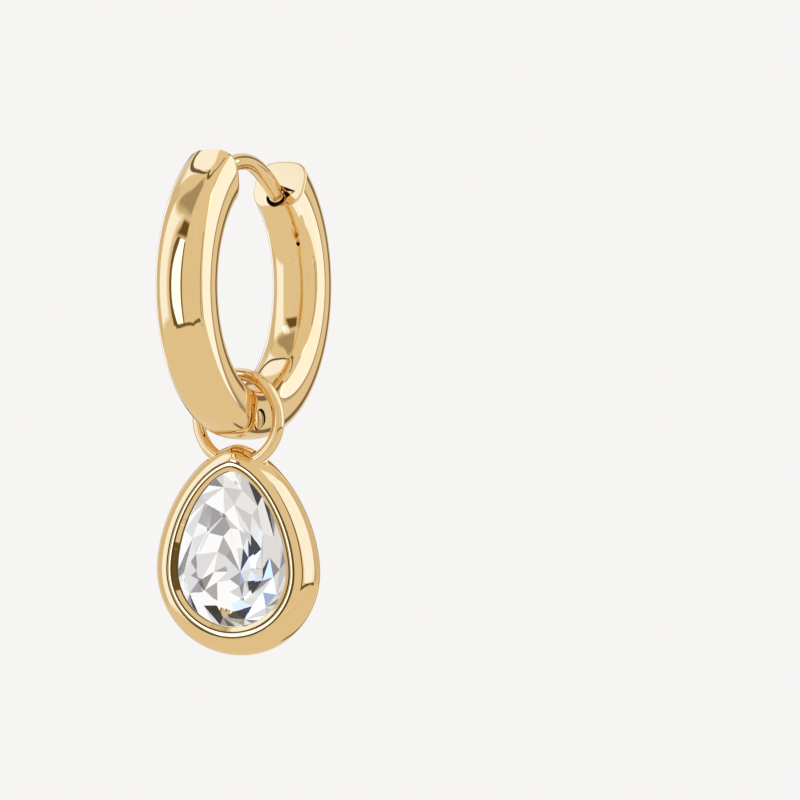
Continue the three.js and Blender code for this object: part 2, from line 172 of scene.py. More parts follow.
class FinishSizes(bpy.types.PropertyGroup):
    """Colours and fineness."""

    gold: colour("Gold", "Colour of the polished plating", (0.92, 0.70, 0.38))
    gold_warm: colour("Warm gold", "The plating where it is slightly richer", (0.905, 0.67, 0.34))
    # Painted shade: dark gold tones that stand in for the shade and dark reflections in the fine
    # lines, holes and seams
    shade: colour("Shade", "Gold deep in the fine lines", (0.07, 0.04, 0.012))
    shade_light: colour("Light shade", "Gold at the edges of the lines", (0.12, 0.072, 0.024))
    foil: colour("Foil", "Mirror foil behind the crystal", (0.85, 0.88, 0.95))
    backdrop: colour("Backdrop", "Background and floor", (0.922, 0.913, 0.905))
    tube_sides: IntProperty(name="Tube sides", description="Points round the hoop's tube", default=96)
    hoop_steps: IntProperty(name="Hoop steps", description="Sections in a full circle", default=240)
    outline_steps: IntProperty(name="Outline steps", description="Points round the drop", default=224)
    wire_sides: IntProperty(name="Wire sides", description="Points round the wires", default=40)


class StudioSizes(bpy.types.PropertyGroup):
    """The camera and the floor."""

    azimuth: share("Camera azimuth", "Degrees right of the front", 26.8)
    distance: length("Camera distance", "From the hoop's centre", 215.0)
    focal: share("Focal length", "Millimetres on a 36 mm sensor", 185.76)
    aim_right: length("Aim right", "The view's middle right of the hoop's centre", 8.016)
    aim_down: length("Aim down", "The view's middle under the hoop's centre", 5.958)
    floor_down: length("Floor", "Floor under the frame's origin", 70.0)
    floor_radius: length("Floor radius", "Radius of the floor", 260.0)


class Card(typing.NamedTuple):
    """A card of the light tent; angles in degrees, azimuth off the front. Below 0 it darkens."""

    middle: float
    half_width: float
    low: float
    high: float
    light: float
    soft: float = 1.5
    slope: float = 0.0


# The tent's plain cloth and its soft boxes, in linear light, then its cards
CLOTH = (0.816, 0.759, 0.659)
SOFT_BOX = (1.075, 1.25, 1.71)
OVER_CLOTH = (0.26, 0.49, 1.05)
DARK = (0.12, 0.068, 0.006)
OVER_DARK = tuple(cloth - dark for cloth, dark in zip(CLOTH, DARK))
TENT = [
    Card(-56.0, 17.0, -20.0, 45.0, 0.95, 4.0),
    Card(-31.5, 1.7, -26.0, 32.0, -0.93, 0.4),
    Card(-17.5, 1.7, -26.0, 30.0, -0.93, 0.4),
    Card(-25.0, 10.0, 33.0, 44.0, -0.96, 3.0),
    Card(-40.0, 22.0, 49.0, 76.0, -0.57, 6.0),
    Card(168.0, 7.0, -60.0, 60.0, -0.85, 3.0),
    Card(-6.0, 26.0, -28.0, -25.6, -0.9, 0.4),
    Card(45.0, 25.0, -23.0, -20.6, -0.9, 0.4, 0.2),
    Card(26.5, 2.4, -14.0, 40.0, -0.95, 0.4),
    Card(64.0, 40.5, -16.8, -14.0, -0.95, 0.4),
    Card(78.5, 1.9, -18.0, 25.0, -0.9, 0.6),
    Card(119.0, 31.0, -12.0, 56.0, -0.6, 3.0),
    Card(-132.0, 18.0, -20.0, 24.0, -0.8, 3.0),
    Card(-92.0, 18.0, -20.0, 50.0, -0.15, 4.0),
    Card(-116.0, 24.0, 45.0, 82.0, 0.9, 4.0),
    Card(-103.0, 31.0, 55.7, 60.7, -0.95, 1.5, 0.75),
    Card(0.0, 88.0, 80.5, 84.5, -0.95, 1.5),
    Card(110.0, 28.0, 74.0, 78.0, -0.95, 1.5, -0.25),
]


def row(card, parts):
    """A wide card as narrower ones side by side, which flat boxes follow more closely."""
    half = card.half_width / parts
    pieces = []
    for part in range(parts):
        aside = half * (2 * part + 1) - card.half_width
        rise = card.slope * aside
        pieces.append(card._replace(middle=card.middle + aside, half_width=half,
                                    low=card.low + rise, high=card.high + rise))
    return pieces


SIDE_BOXES = [
    (Card(119.0, 31.0, -12.0, 56.0, 1.0), (0.75, 0.94, 1.44)),
    (Card(-124.0, 12.0, -18.0, 22.0, 1.0), (0.82, 1.04, 1.57)),
    (Card(26.5, 2.4, -14.0, 40.0, 0.95), OVER_DARK),
    *[(card, OVER_DARK) for card in row(Card(64.0, 40.5, -16.8, -14.0, 0.95), 10)],
]
STRIP = (Card(-24.8, 5.0, -25.0, 31.0, 1.0), (0.73, 1.0, 1.8))
LOW_LINE_FILL = [(card, OVER_DARK) for card in [
    *row(Card(-6.0, 26.0, -28.0, -25.6, 0.9), 7),
    *row(Card(45.0, 25.0, -23.0, -20.6, 0.9, slope=0.2), 6),
]]
# Lights that reach one group of pieces alone: a card, and the light it gives at 1
LINKED_BOXES = {
    ("near_half", "pin"): [*SIDE_BOXES, STRIP],
    ("post_wire", "link_ring"): [*SIDE_BOXES[:2], STRIP],
    ("far_half",): [
        *SIDE_BOXES, *LOW_LINE_FILL,
        (Card(-31.5, 1.7, -26.0, 32.0, 0.93), OVER_DARK),
        (Card(-17.5, 1.7, -26.0, 30.0, 0.93), OVER_DARK),
        (Card(-39.4, 4.0, 40.0, 49.0, 0.8), OVER_CLOTH),
        (Card(119.0, 31.0, -48.0, -12.0, 1.0), OVER_CLOTH),
        (Card(130.0, 42.0, -75.0, -48.0, 1.0), OVER_CLOTH),
    ],
    ("setting",): [
        STRIP, *LOW_LINE_FILL,
        (Card(67.0, 37.0, -14.0, 60.0, 1.0), OVER_CLOTH),
        (Card(97.0, 9.0, -12.0, 56.0, 0.6), OVER_DARK),
        (Card(128.0, 22.0, -12.0, 56.0, 0.45), OVER_DARK),
        (Card(78.5, 1.9, -18.0, 25.0, 0.9), OVER_DARK),
        (Card(-25.0, 10.0, 33.0, 44.0, 0.96), OVER_DARK),
        (Card(-125.0, 12.0, -20.0, 24.0, 0.8), OVER_DARK),
    ],
    ("stone",): [
        (Card(119.0, 31.0, -12.0, 56.0, 0.6), CLOTH),
        (Card(-130.0, 18.0, -16.0, 20.0, 0.8), CLOTH),
        (Card(10.0, 50.0, -45.0, 60.0, 0.34), (1.0, 1.0, 1.0)),
        (Card(-90.0, 50.0, -60.0, 60.0, 0.15), (1.0, 1.0, 1.0)),
        (Card(115.0, 50.0, -60.0, 60.0, 0.15), (1.0, 1.0, 1.0)),
    ],
}


# Steps along the post's route: in all, up to the socket's mouth, and before the catch's cutters
ROUTE_STEPS, SOCKET_STEPS, CATCH_STEP = 90, 40, 60
# The post outside the near half: along and below its top, in tube radii
POST_SHAPE = [
    (-0.285, 0.038), (-0.15, 0.007), (0.0, 0.0), (0.12, 0.018),
    (0.22, 0.052), (0.315, 0.1), (0.413, 0.16), (0.503, 0.226),
]
# Degrees of opening at which the post still stands in the catch
CATCH_ANGLES = (0, 1.5, 3, 4.5, 6, 8)
# The setting behind its ridge: share of its depth, and inset over the ridge's inset
WIDEST_LEVEL = 0.45
BODY_SHAPE = [
    (0.022, 0.735), (0.063, 0.522), (0.113, 0.354), (0.185, 0.2), (0.274, 0.088), (0.37, 0.02),
    (WIDEST_LEVEL, 0.0), (0.55, 0.07), (0.66, 0.25), (0.79, 0.62), (0.91, 1.15), (1.0, 1.9),
]
# The crystal's sides, and its lower rows: share of the depth, share of the size, turn in sides
STONE_SIDES, GIRDLE_SIDES = 14, 42
PAVILION_ROWS = [(0.22, 0.84, 0.0), (0.48, 0.65, 0.5), (0.72, 0.45, 0.0), (0.92, 0.24, 0.5)]
# How far its lower corners stray, across and in depth, and the culet from the middle
STRAY, STRAY_DEEP, CULET_ASIDE = 0.16, 0.05, 0.1
# Painted reflections for the foiled facets: tones that stand in for the light, grey and dark
# that each facet mirrors, in linear light, and how often, elsewhere and low or right (more dark ones
# there as painted shade)
PAINTED_FACET_REFLECTIONS = [(1.0, 1.0, 1.0), (0.75, 0.75, 0.76), (0.36, 0.36, 0.38), (0.05, 0.05, 0.06),
               (0.7, 0.77, 0.95)]
FACET_CHANCES = [(62, 24, 12, 1, 1), (48, 20, 17, 13, 2)]
# Where low or right starts: right of the middle, and below the widest level
RIGHT_FROM, LOW_FROM = 0.6, 1.5
# Which faces get painted shade: how far off a wall and a step their middles may lie, how much a
# wall's normal may lean along its hole, and how far to each side the drop's tunnel goes
WALL_SLACK, STEP_SLACK, LEAN_SLACK, TUNNEL_REACH = 0.03, 0.01, 0.3, 1.2
BOX_DISTANCE = 4.0  # metres, from the hoop's centre


# Mesh tools, in millimetres

def loft(name, rings, closed=False):
    """A closed mesh through rings of equally many points, capped unless the rings close up."""
    count = len(rings[0])
    faces = []
    last = len(rings) if closed else len(rings) - 1
    for k in range(last):
        a, b = k * count, (k + 1) % len(rings) * count
        faces += [(a + i, a + (i + 1) % count, b + (i + 1) % count, b + i) for i in range(count)]
    if not closed:
        faces.append(tuple(reversed(range(count))))
        faces.append(tuple(range((len(rings) - 1) * count, len(rings) * count)))
    return mesh_object(name, [point for ring in rings for point in ring], faces)


def mesh_object(name, points, faces):
    """An object from points in millimetres, its faces turned outward."""
    mesh = bpy.data.meshes.new(name)
    mesh.from_pydata([Vector(point) for point in points], [], faces)
    work = bmesh.new()
    work.from_mesh(mesh)
    bmesh.ops.recalc_face_normals(work, faces=work.faces)
    if work.calc_volume(signed=True) < 0:
        bmesh.ops.reverse_faces(work, faces=work.faces)
    work.to_mesh(mesh)
    work.free()
    piece = bpy.data.objects.new(name, mesh)
    bpy.context.scene.collection.objects.link(piece)
    return piece


def combine(piece, other, operation):
    """Cuts, joins or intersects a piece with another, which is used up."""
    change = piece.modifiers.new("combine", "BOOLEAN")
    change.operation = operation
    change.object = other
    change.solver = "MANIFOLD"
    bpy.context.view_layer.update()
    graph = bpy.context.evaluated_depsgraph_get()
    result = bpy.data.meshes.new_from_object(piece.evaluated_get(graph))
    piece.modifiers.clear()
    if not result.polygons:
        raise RuntimeError(f"{piece.name}: nothing is left after {operation} with {other.name}")
    piece.data = result
    bpy.data.objects.remove(other)
    return piece


def hand_over(piece, body, materials, nodes, crease=28.0):
    """Scales a finished piece to metres, shades it, and puts it in its node's place."""
    work = bmesh.new()
    work.from_mesh(piece.data)
    bmesh.ops.remove_doubles(work, verts=work.verts, dist=1e-4)
    bmesh.ops.dissolve_degenerate(work, edges=work.edges, dist=1e-4)
    for face in work.faces:
        face.smooth = crease > 0
    for edge in work.edges:
        if len(edge.link_faces) == 2:
            edge.smooth = edge.calc_face_angle(0.0) < math.radians(crease)
    work.to_mesh(piece.data)
    work.free()
    piece.data.transform(Matrix.Scale(MILLIMETRE, 4))
    piece.data.materials.clear()
    for material in materials:
        piece.data.materials.append(material)
    shading = piece.modifiers.new("shading", "WEIGHTED_NORMAL")
    shading.keep_sharp = True
    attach(piece, body)
    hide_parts(*nodes)


def turned_about(piece, place, degrees):
    """Turns a piece about the line along X through a (y, z) place."""
    pivot = Matrix.Translation((0, *place))
    turn = Matrix.Rotation(math.radians(degrees), 4, "X")
    piece.data.transform(pivot @ turn @ pivot.inverted())
    return piece


def shade_faces(piece, hidden):
    """Gives the gold with painted shade to the faces that a test picks by centre and normal, in mm."""
    piece.data.materials.append(shaded_gold())
    for face in piece.data.polygons:
        if hidden(face.center / MILLIMETRE, face.normal):
            face.material_index = 1


def slab_along_x(name, outline, half_width):
    """A flat outline of (y, z) points, thickened both ways along X."""
    return loft(name, [[(x, y, z) for y, z in outline] for x in (-half_width, half_width)])


def arc(centre, radius, start, stop, steps):
    """Points on a circle in the Y-Z plane; angles in degrees from +Y toward +Z."""
    angles = [math.radians(start + (stop - start) * i / steps) for i in range(steps + 1)]
    return [(centre[0] + radius * math.cos(a), centre[1] + radius * math.sin(a)) for a in angles]


def rod_along_x(name, centre, radius, half_length, sides=64):
    """A round rod along X."""
    return slab_along_x(name, arc(centre, radius, 0, 360 * (1 - 1 / sides), sides - 1), half_length)


def sweep(name, stations, sides):
    """A wire in the Y-Z plane through stations of (y, z), (along y, along z) and radius."""
    rings = []
    for (y, z), (ay, az), radius in stations:
        ring = []
        for i in range(sides):
            t = 2 * math.pi * i / sides
            out = radius * math.sin(t)
            ring.append((radius * math.cos(t), y - az * out, z + ay * out))
        rings.append(ring)
    return loft(name, rings)


def smooth_route(points, steps):
    """A centripetal spline through (y, z) points, as (point, unit heading) pairs."""
    first = tuple(2 * a - b for a, b in zip(points[0], points[1]))
    last = tuple(2 * a - b for a, b in zip(points[-1], points[-2]))
    chain = [Vector(p) for p in (first, *points, last)]
    route = []
    spans = len(points) - 1
    for n in range(steps + 1):
        place = min(n * spans / steps, spans - 1e-9)
        k = int(place)
        p = chain[k:k + 4]
        knots = [0.0]
        for a, b in zip(p, p[1:]):
            knots.append(knots[-1] + max((b - a).length, 1e-6) ** 0.5)
        t = knots[1] + (knots[2] - knots[1]) * (place - k)

        def blend(a, b, i, j):
            """The straight mix of two points between two knots."""
            return (a * (knots[j] - t) + b * (t - knots[i])) / (knots[j] - knots[i])

        low = [blend(p[i], p[i + 1], i, i + 1) for i in range(3)]
        mid = [blend(low[i], low[i + 1], i, i + 2) for i in range(2)]
        route.append(blend(mid[0], mid[1], 1, 2))
    headings = [
        (route[min(i + 1, steps)] - route[max(i - 1, 0)]).normalized() for i in range(steps + 1)
    ]
    return list(zip(route, headings))


def smooth_column(rows, steps):
    """A table of (level, value) rows as many evenly spread rows on a smooth curve."""
    return [tuple(point) for point, _ in smooth_route([Vector(row) for row in rows], steps)]


# Shader maths

class Value:
    """A node's output. Arithmetic on it adds Math nodes."""

    def __init__(self, nodes, socket):
        self.nodes = nodes
        self.socket = socket

    def maths(self, operation, *others):
        """A Math node that starts from this value."""
        inputs = dict(enumerate((self, *others)))
        return self.nodes.add("ShaderNodeMath", {"operation": operation}, inputs)

    def __add__(self, other):
        return self.maths("ADD", other)

    __radd__ = __add__

    def __sub__(self, other):
        return self.maths("SUBTRACT", other)

    def __rsub__(self, other):
        return (self * -1.0) + other

    def __mul__(self, other):
        return self.maths("MULTIPLY", other)

    __rmul__ = __mul__

    def __truediv__(self, other):
        return self.maths("DIVIDE", other)

    def clamped(self):
        """This value held between 0 and 1."""
        return self.maths("MAXIMUM", 0.0).maths("MINIMUM", 1.0)


class Nodes:
    """A node tree that nodes are added to."""

    def __init__(self, tree):
        self.tree = tree
        tree.nodes.clear()

    def add(self, kind, settings=None, inputs=None, output=0):
        """A node with its settings made first, then its sockets set or linked."""
        node = self.tree.nodes.new(kind)
        for name, setting in (settings or {}).items():
            setattr(node, name, setting)
        for key, value in (inputs or {}).items():
            if isinstance(value, Value):
                self.tree.links.new(value.socket, node.inputs[key])
            else:
                node.inputs[key].default_value = value
        return Value(self, node.outputs[output]) if node.outputs else None

    def blend(self, factor, first, second, kind="MIX"):
        """Two colours mixed by a factor."""
        return self.add("ShaderNodeMix", {"data_type": "RGBA", "blend_type": kind},
                        {"Factor": factor, "A": first, "B": second}, output="Result")

    def noise(self, scale, detail=2.0):
        """Cloudy noise fixed to the piece."""
        place = self.add("ShaderNodeTexCoord", output="Object")
        return self.add("ShaderNodeTexNoise", {},
                        {"Vector": place, "Scale": scale, "Detail": detail})

    def principled(self, **inputs):
        """A Principled surface as the material's output; a name's spaces are written as _."""
        named = {name.replace("_", " "): value for name, value in inputs.items()}
        surface = self.add("ShaderNodeBsdfPrincipled", {}, named)
        self.add("ShaderNodeOutputMaterial", {}, {"Surface": surface})


def opaque(tint):
    """A colour with its alpha."""
    return (*tint, 1.0)


def new_material(name):
    """A material with an empty node tree."""
    material = bpy.data.materials.new(name)
    material.use_nodes = True
    return material, Nodes(material.node_tree)


def polished_gold(finish):
    """Mirror gold plate: a faint cloud in its colour, a breath of haze and fine polishing waves."""
    material, nodes = new_material(GOLD_PLATE)
    tone = nodes.blend(nodes.noise(260.0), opaque(finish.gold), opaque(finish.gold_warm))
    waves = nodes.add("ShaderNodeBump", {}, {
        "Strength": 0.012, "Distance": 0.00002, "Height": nodes.noise(380.0, 1.0)})
    nodes.principled(Base_Color=tone, Metallic=1.0, Roughness=nodes.noise(900.0, 3.0) * 0.02 + 0.02,
                     Normal=waves)
    return material


def shaded_gold():
    """Gold with painted shade for the fine lines and holes: darkened to stand in for the shade and
    dark reflections there.
    """
    if SHADED_GOLD in bpy.data.materials:
        return bpy.data.materials[SHADED_GOLD]
    finish = bpy.context.scene.earring_finish
    material, nodes = new_material(SHADED_GOLD)
    shade_mottle = nodes.noise(900.0, 3.0)
    tone = nodes.blend(shade_mottle, opaque(finish.shade), opaque(finish.shade_light))
    nodes.principled(Base_Color=tone, Metallic=1.0, Roughness=shade_mottle * 0.2 + 0.25)
    return material


def clear_glass():
    """The crystal's cut crown: clear, with the finest trace of polish."""
    material, nodes = new_material("crystal_glass")
    nodes.principled(Base_Color=(0.99, 0.99, 1.0, 1.0), Roughness=nodes.noise(700.0) * 0.004,
                     IOR=1.36, Transmission_Weight=1.0)
    return material


def mirror_foil(finish):
    """The foiled back of the crystal, a cool mirror in which each facet has its own painted reflection
    tone, standing in for the light or shade it mirrors.
    """
    material, nodes = new_material("crystal_foil")
    facet = nodes.add("ShaderNodeAttribute", {"attribute_name": "painted_facet_reflection"})
    tone = nodes.blend(1.0, facet, opaque(finish.foil), "MULTIPLY")
    nodes.principled(Base_Color=tone, Metallic=1.0, Roughness=nodes.noise(600.0) * 0.02 + 0.02)
    return material


def gold():
    """The one gold material, made at its first use."""
    return bpy.data.materials.get(GOLD_PLATE) or polished_gold(bpy.context.scene.earring_finish)


# Places shared by the pieces, in millimetres

class Plan:
    """Every worked-out size, from the scene's properties."""

    def __init__(self):
        scene = bpy.context.scene
        groups = (scene.earring_hoop, scene.earring_post, scene.earring_drop)
        self.hoop, self.post, self.drop = (self.in_millimetres(group) for group in groups)
        self.finish = scene.earring_finish
        hoop, drop = self.hoop, self.drop
        self.half_width = hoop["tube_width"] / 2
        self.half_depth = hoop["tube_depth"] / 2
        self.cutter_half_width = self.half_width * 1.2
        self.tube_radius = hoop["outer_radius"] - self.half_depth
        self.rise = hoop["top_share"] * self.tube_radius
        self.beyond = hoop["outer_radius"] * 1.5
        self.pin = self.on_hoop(180 + hoop["pin_angle"], hoop["outer_radius"] - hoop["pin_depth"])
        self.hollow = hoop["knuckle_radius"] + hoop["knuckle_gap"]
        self.ring_y = -drop["ring_forward"]
        self.ring_radius = (drop["ring_outer"] - drop["ring_wire"]) / 2
        inner = hoop["outer_radius"] - hoop["tube_depth"]
        floor = -math.sqrt(inner ** 2 - self.ring_y ** 2)
        bore = self.ring_radius - drop["ring_wire"] / 2
        self.ring_z = -self.rise + floor + drop["ring_clear"] - bore
        self.ring_bottom = self.ring_z - self.ring_radius
        self.widest_z = self.ring_bottom + drop["apex_above_wire"] - drop["up"]
        self.front_y = -drop["front"]
        self.back_y = drop["back"]
        self.widest_y = self.front_y + (self.back_y - self.front_y) * WIDEST_LEVEL
        self.seat_inset = drop["rim_inset"] + drop["rim_lip"]
        self.seat_y = self.front_y + drop["rim_lip_depth"]
        self.pocket_y = self.front_y + drop["pocket_depth"]

    @staticmethod
    def in_millimetres(group):
        """A property group as a dict, its lengths in millimetres."""
        sizes = {}
        for key, definition in group.bl_rna.properties.items():
            if definition.type == "FLOAT" and not definition.is_array:
                scale = 1 / MILLIMETRE if definition.unit == "LENGTH" else 1.0
                sizes[key] = getattr(group, key) * scale
        return sizes

    def on_hoop(self, angle, radius):
        """A (y, z) point from the hoop's centre; the angle is off straight up, toward +Y."""
        return radius * math.sin(math.radians(angle)), radius * math.cos(math.radians(angle))

    def section(self, angle, tilt=None, inset=0.0, past=0.0):
        """One section of the tube; its plane leans by tilt, and past shifts it off its plane."""
        tilt = angle if tilt is None else tilt
        centre_y, centre_z = self.on_hoop(angle, self.tube_radius)
        out_y, out_z = self.on_hoop(tilt, 1.0)
        half_depth = self.half_depth / math.cos(math.radians(tilt - angle)) - inset
        power = 2 / self.hoop["squareness"]
        ring = []
        for i in range(self.finish.tube_sides):
            t = 2 * math.pi * (i + 0.5) / self.finish.tube_sides
            out = half_depth * math.copysign(abs(math.sin(t)) ** power, math.sin(t))
            across = (self.half_width - inset) * math.copysign(abs(math.cos(t)) ** power, math.cos(t))
            ring.append((across, centre_y + out * out_y + past * out_z,
                         centre_z + out * out_z - past * out_y))
        return ring

    def circle(self, start, stop):
        """Radial sections from one angle to another."""
        steps = max(2, round(self.finish.hoop_steps * abs(stop - start) / 360))
        return [self.section(start + (stop - start) * i / steps) for i in range(steps + 1)]

    def rounded_end(self, angle, turn, tilt, radius, side):
        """Sections that turn from radial to the end's tilt, then round its edge."""
        rings = []
        steps = 12
        for i in range(1, steps):
            part = i / steps
            rings.append(self.section(
                side * (turn + (angle - turn) * part), side * (turn + (tilt - turn) * part)))
        for bend in (0, 15, 30, 45, 60, 75, 90):
            past = radius * math.sin(math.radians(bend))
            inset = radius * (1 - math.cos(math.radians(bend)))
            rings.append(self.section(side * angle, side * tilt, inset, -side * past))
        return rings

    def post_route(self):
        """The post's centreline from its socket to its neck."""
        end = Vector(self.on_hoop(-self.hoop["front_end"], self.tube_radius))
        lean = Vector(self.on_hoop(90 - self.post["socket_lean"], self.post["socket_depth"]))
        outside = [Vector((along * self.tube_radius, self.rise - below * self.tube_radius))
                   for along, below in POST_SHAPE]
        return smooth_route([end - lean, end - lean / 2, end, *outside], ROUTE_STEPS)

    def back_face(self, outward):
        """A point of the far end's face, outward from its middle."""
        middle = Vector(self.on_hoop(self.hoop["back_end"], self.tube_radius))
        return middle + Vector(self.on_hoop(self.hoop["back_tilt"], outward))

    def post_meets_back(self):
        """Where the post's axis meets the far end's face."""
        end, heading = self.post_route()[-1]
        out = Vector(self.on_hoop(self.hoop["back_tilt"], 1.0))
        away = Vector((-out.y, out.x))
        travel = (self.back_face(0.0) - end).dot(away) / heading.dot(away)
        return end + heading * travel

    def raised(self, piece):
        """Moves a piece from the hoop's centre to the frame's origin."""
        piece.data.transform(Matrix.Translation((0, 0, -self.rise)))
        return piece

    def drop_ring(self, y, inset, steps, size=1.0, turn=0.0):
        """One teardrop ring at depth y, drawn in by inset and scaled by size."""
        drop = self.drop
        ring = []
        for i in range(steps):
            t = 2 * math.pi * (i + turn) / steps
            side, rise = math.cos(t), math.sin(t)
            half = (drop["width"] / 2 - inset) * size
            if rise < 0:
                ring.append((half * side, y, self.widest_z + (drop["down"] - inset) * size * rise))
                continue
            x = half * math.copysign(abs(side) ** (2 * drop["fullness"]), side)
            reach = (drop["up"] - inset * drop["rim_apex_share"]) * size
            z = reach * rise ** (2 / drop["rise"])
            thin = 1 - (1 - drop["apex_back_share"]) * (z / drop["up"]) ** 3
            depth = self.widest_y + (y - self.widest_y) * thin if y > self.widest_y else y
            ring.append((x, depth, self.widest_z + z))
        return ring


# Pieces

class EARRING_OT_near_half(bpy.types.Operator):
    """Build the near half of the hoop with its rounded end and hinge tongue"""

    bl_idname = "earring.near_half"
    bl_label = "Near half"

    def execute(self, context):
        plan = Plan()
        hoop = plan.hoop
        (pin_y, pin_z), far = plan.pin, plan.beyond
        seam = pin_y - plan.hollow
        half = loft("near_half", plan.circle(-200, -hoop["front_turn"]) + plan.rounded_end(
            hoop["front_end"], hoop["front_turn"], hoop["front_tilt"], hoop["front_round"], -1))
        keep = slab_along_x("keep", [
            (0, pin_z / 2), (0, far), (-far, far), (-far, -far), (pin_y, -far),
            *arc(plan.pin, plan.hollow, 270, 180, 48), (seam, pin_z / 2),
        ], plan.cutter_half_width)
        combine(half, keep, "INTERSECT")
        web, root = hoop["tongue_web"], seam - hoop["tongue_root"]
        tongue = slab_along_x("tongue", [
            *arc(plan.pin, hoop["tongue_radius"], -130, 130, 48),
            (root, pin_z + web), (root, pin_z - web),
        ], hoop["tongue_width"] / 2)
        combine(half, tongue, "UNION")
        bore = rod_along_x("bore", plan.pin, hoop["pin_radius"] + hoop["bore_gap"], far)
        combine(half, bore, "DIFFERENCE")
        radius = plan.post["wire"] / 2 + plan.post["socket_gap"]
        inside = plan.post_route()[:SOCKET_STEPS]
        socket = sweep("socket", [(p, h, radius) for p, h in inside], plan.finish.wire_sides)
        combine(half, socket, "DIFFERENCE")
        hand_over(plan.raised(half), FRONT_BODY, [gold()], ["hoop_front"])
        return {"FINISHED"}


class EARRING_OT_far_half(bpy.types.Operator):
    """Build the far half of the hoop with its hinge cheeks and the catch for the post"""

    bl_idname = "earring.far_half"
    bl_label = "Far half"

    def execute(self, context):
        plan = Plan()
        hoop = plan.hoop
        (pin_y, pin_z), far = plan.pin, plan.beyond
        seam = pin_y - plan.hollow + hoop["seam_gap"]
        half = loft("far_half", plan.circle(200, hoop["back_turn"]) + plan.rounded_end(
            hoop["back_end"], hoop["back_turn"], hoop["back_tilt"], hoop["back_round"], 1))
        nose = hoop["knuckle_radius"]
        keep = slab_along_x("keep", [
            (seam, 0), (seam, pin_z + nose / 2), *arc(plan.pin, nose, 165, 275, 48),
            (pin_y + nose / 3, -far), (far, -far), (far, far), (seam, far),
        ], plan.cutter_half_width)
        combine(half, keep, "INTERSECT")
        reach = hoop["tongue_radius"] + hoop["side_gap"]
        slot = slab_along_x("slot", [
            *arc(plan.pin, reach, -90, 90, 32), (pin_y - far, pin_z + reach),
            (pin_y - far, -far), (pin_y, -far),
        ], hoop["tongue_width"] / 2 + hoop["side_gap"])
        combine(half, slot, "DIFFERENCE")
        bore_radius = hoop["pin_radius"] + hoop["bore_gap"]
        combine(half, rod_along_x("bore", plan.pin, bore_radius, far), "DIFFERENCE")
        sunk = bore_radius + hoop["pin_sink"]
        for side in (-1, 1):
            sink = rod_along_x("sink", plan.pin, sunk, hoop["pin_sink"])
            sink.data.transform(Matrix.Translation((side * plan.half_width, 0, 0)))
            combine(half, sink, "DIFFERENCE")
        for cutter in self.catch(plan):
            combine(half, cutter, "DIFFERENCE")
        hand_over(plan.raised(half), BACK_BODY, [gold()], ["hoop_back"])
        mouth = plan.post_meets_back()
        out = Vector(plan.on_hoop(hoop["back_tilt"], 1.0))
        inward = Vector((out.y, -out.x))

        def hidden(place, normal):
            """Painted shade: inside the catch hole, or round the pin."""
            spot = Vector((place.y, place.z + plan.rise))
            off_pin = (spot - Vector(plan.pin)).length
            away = spot - mouth
            across = math.hypot(place.x, away.dot(out))
            near = away.length < plan.post["catch_depth"] + hoop["back_round"]
            upright = abs(Vector((normal.y, normal.z)).dot(inward)) < LEAN_SLACK
            drilled = upright and abs(across - plan.post["catch_radius"]) < WALL_SLACK
            on_step = abs(abs(place.x) - plan.half_width + hoop["pin_sink"]) < STEP_SLACK
            bored = abs(normal.x) < LEAN_SLACK and off_pin > bore_radius - WALL_SLACK
            return (near and drilled) or (off_pin < sunk + STEP_SLACK and (on_step or bored))

        # Painted shade on the catch hole's wall, the pin's bores and the steps round its ends
        shade_faces(half, hidden)
        return {"FINISHED"}

    @staticmethod
    def catch(plan):
        """Cutters: the drilled hole, its side notch and the way that the post takes out of them."""
        post = plan.post
        centre = plan.post_meets_back()
        out = Vector(plan.on_hoop(plan.hoop["back_tilt"], 1.0))
        inward = Vector((out.y, -out.x))
        ends = [centre - inward * post["catch_depth"], centre + inward * post["catch_depth"]]
        drill = sweep("drill", [(p, inward, post["catch_radius"]) for p in ends], 64)
        width = post["notch_width"]
        outline = [
            (0, width * 0.9), (0, -width * 0.6), (post["catch_radius"], -width * 0.15),
            (post["notch_reach"], width * 0.4),
        ]
        rings = []
        for deep in (-post["notch_depth"], post["notch_depth"]):
            middle = centre + inward * deep
            rings.append([(x, middle.x + out.x * v, middle.y + out.y * v) for x, v in outline])
        cutters = [drill, loft("notch", rings)]
        radius = post["wire"] / 2 + post["catch_gap"]
        route = plan.post_route()[CATCH_STEP:]
        tip, heading = route[-1]
        reach = post["neck_length"] + post["tip_length"] + post["catch_gap"]
        route = route + [(tip + heading * reach, heading)]
        for angle in CATCH_ANGLES:
            path = sweep("path", [(p, h, radius) for p, h in route], 48)
            cutters.append(turned_about(path, plan.pin, angle))
        return cutters


class EARRING_OT_ear_post(bpy.types.Operator):
    """Build the bent ear post with its groove and rounded tip"""

    bl_idname = "earring.ear_post"
    bl_label = "Ear post"

    def execute(self, context):
        plan = Plan()
        post = plan.post
        radius, neck = post["wire"] / 2, post["neck_radius"]
        route = plan.post_route()
        stations = [(point, heading, radius) for point, heading in route]
        tip, heading = route[-1]
        groove, reach = post["neck_length"], post["neck_length"] + post["tip_length"]
        profile = [(0.03, radius * 0.97), (0.05, neck), (groove - 0.02, neck), (groove, radius * 0.95),
                   (groove + 0.04, radius)]
        rounding = post["tip_rounding"]
        for bend in range(0, 91, 10):
            along = reach - rounding + rounding * math.sin(math.radians(bend))
            profile.append((along, radius * max(math.cos(math.radians(bend)), 0.04) ** 0.7))
        stations += [(tip + heading * along, heading, size) for along, size in profile]
        wire = sweep("post_wire", stations, plan.finish.wire_sides)
        hand_over(plan.raised(wire), FRONT_BODY, [gold()], ["ear_post"], crease=40)
        return {"FINISHED"}


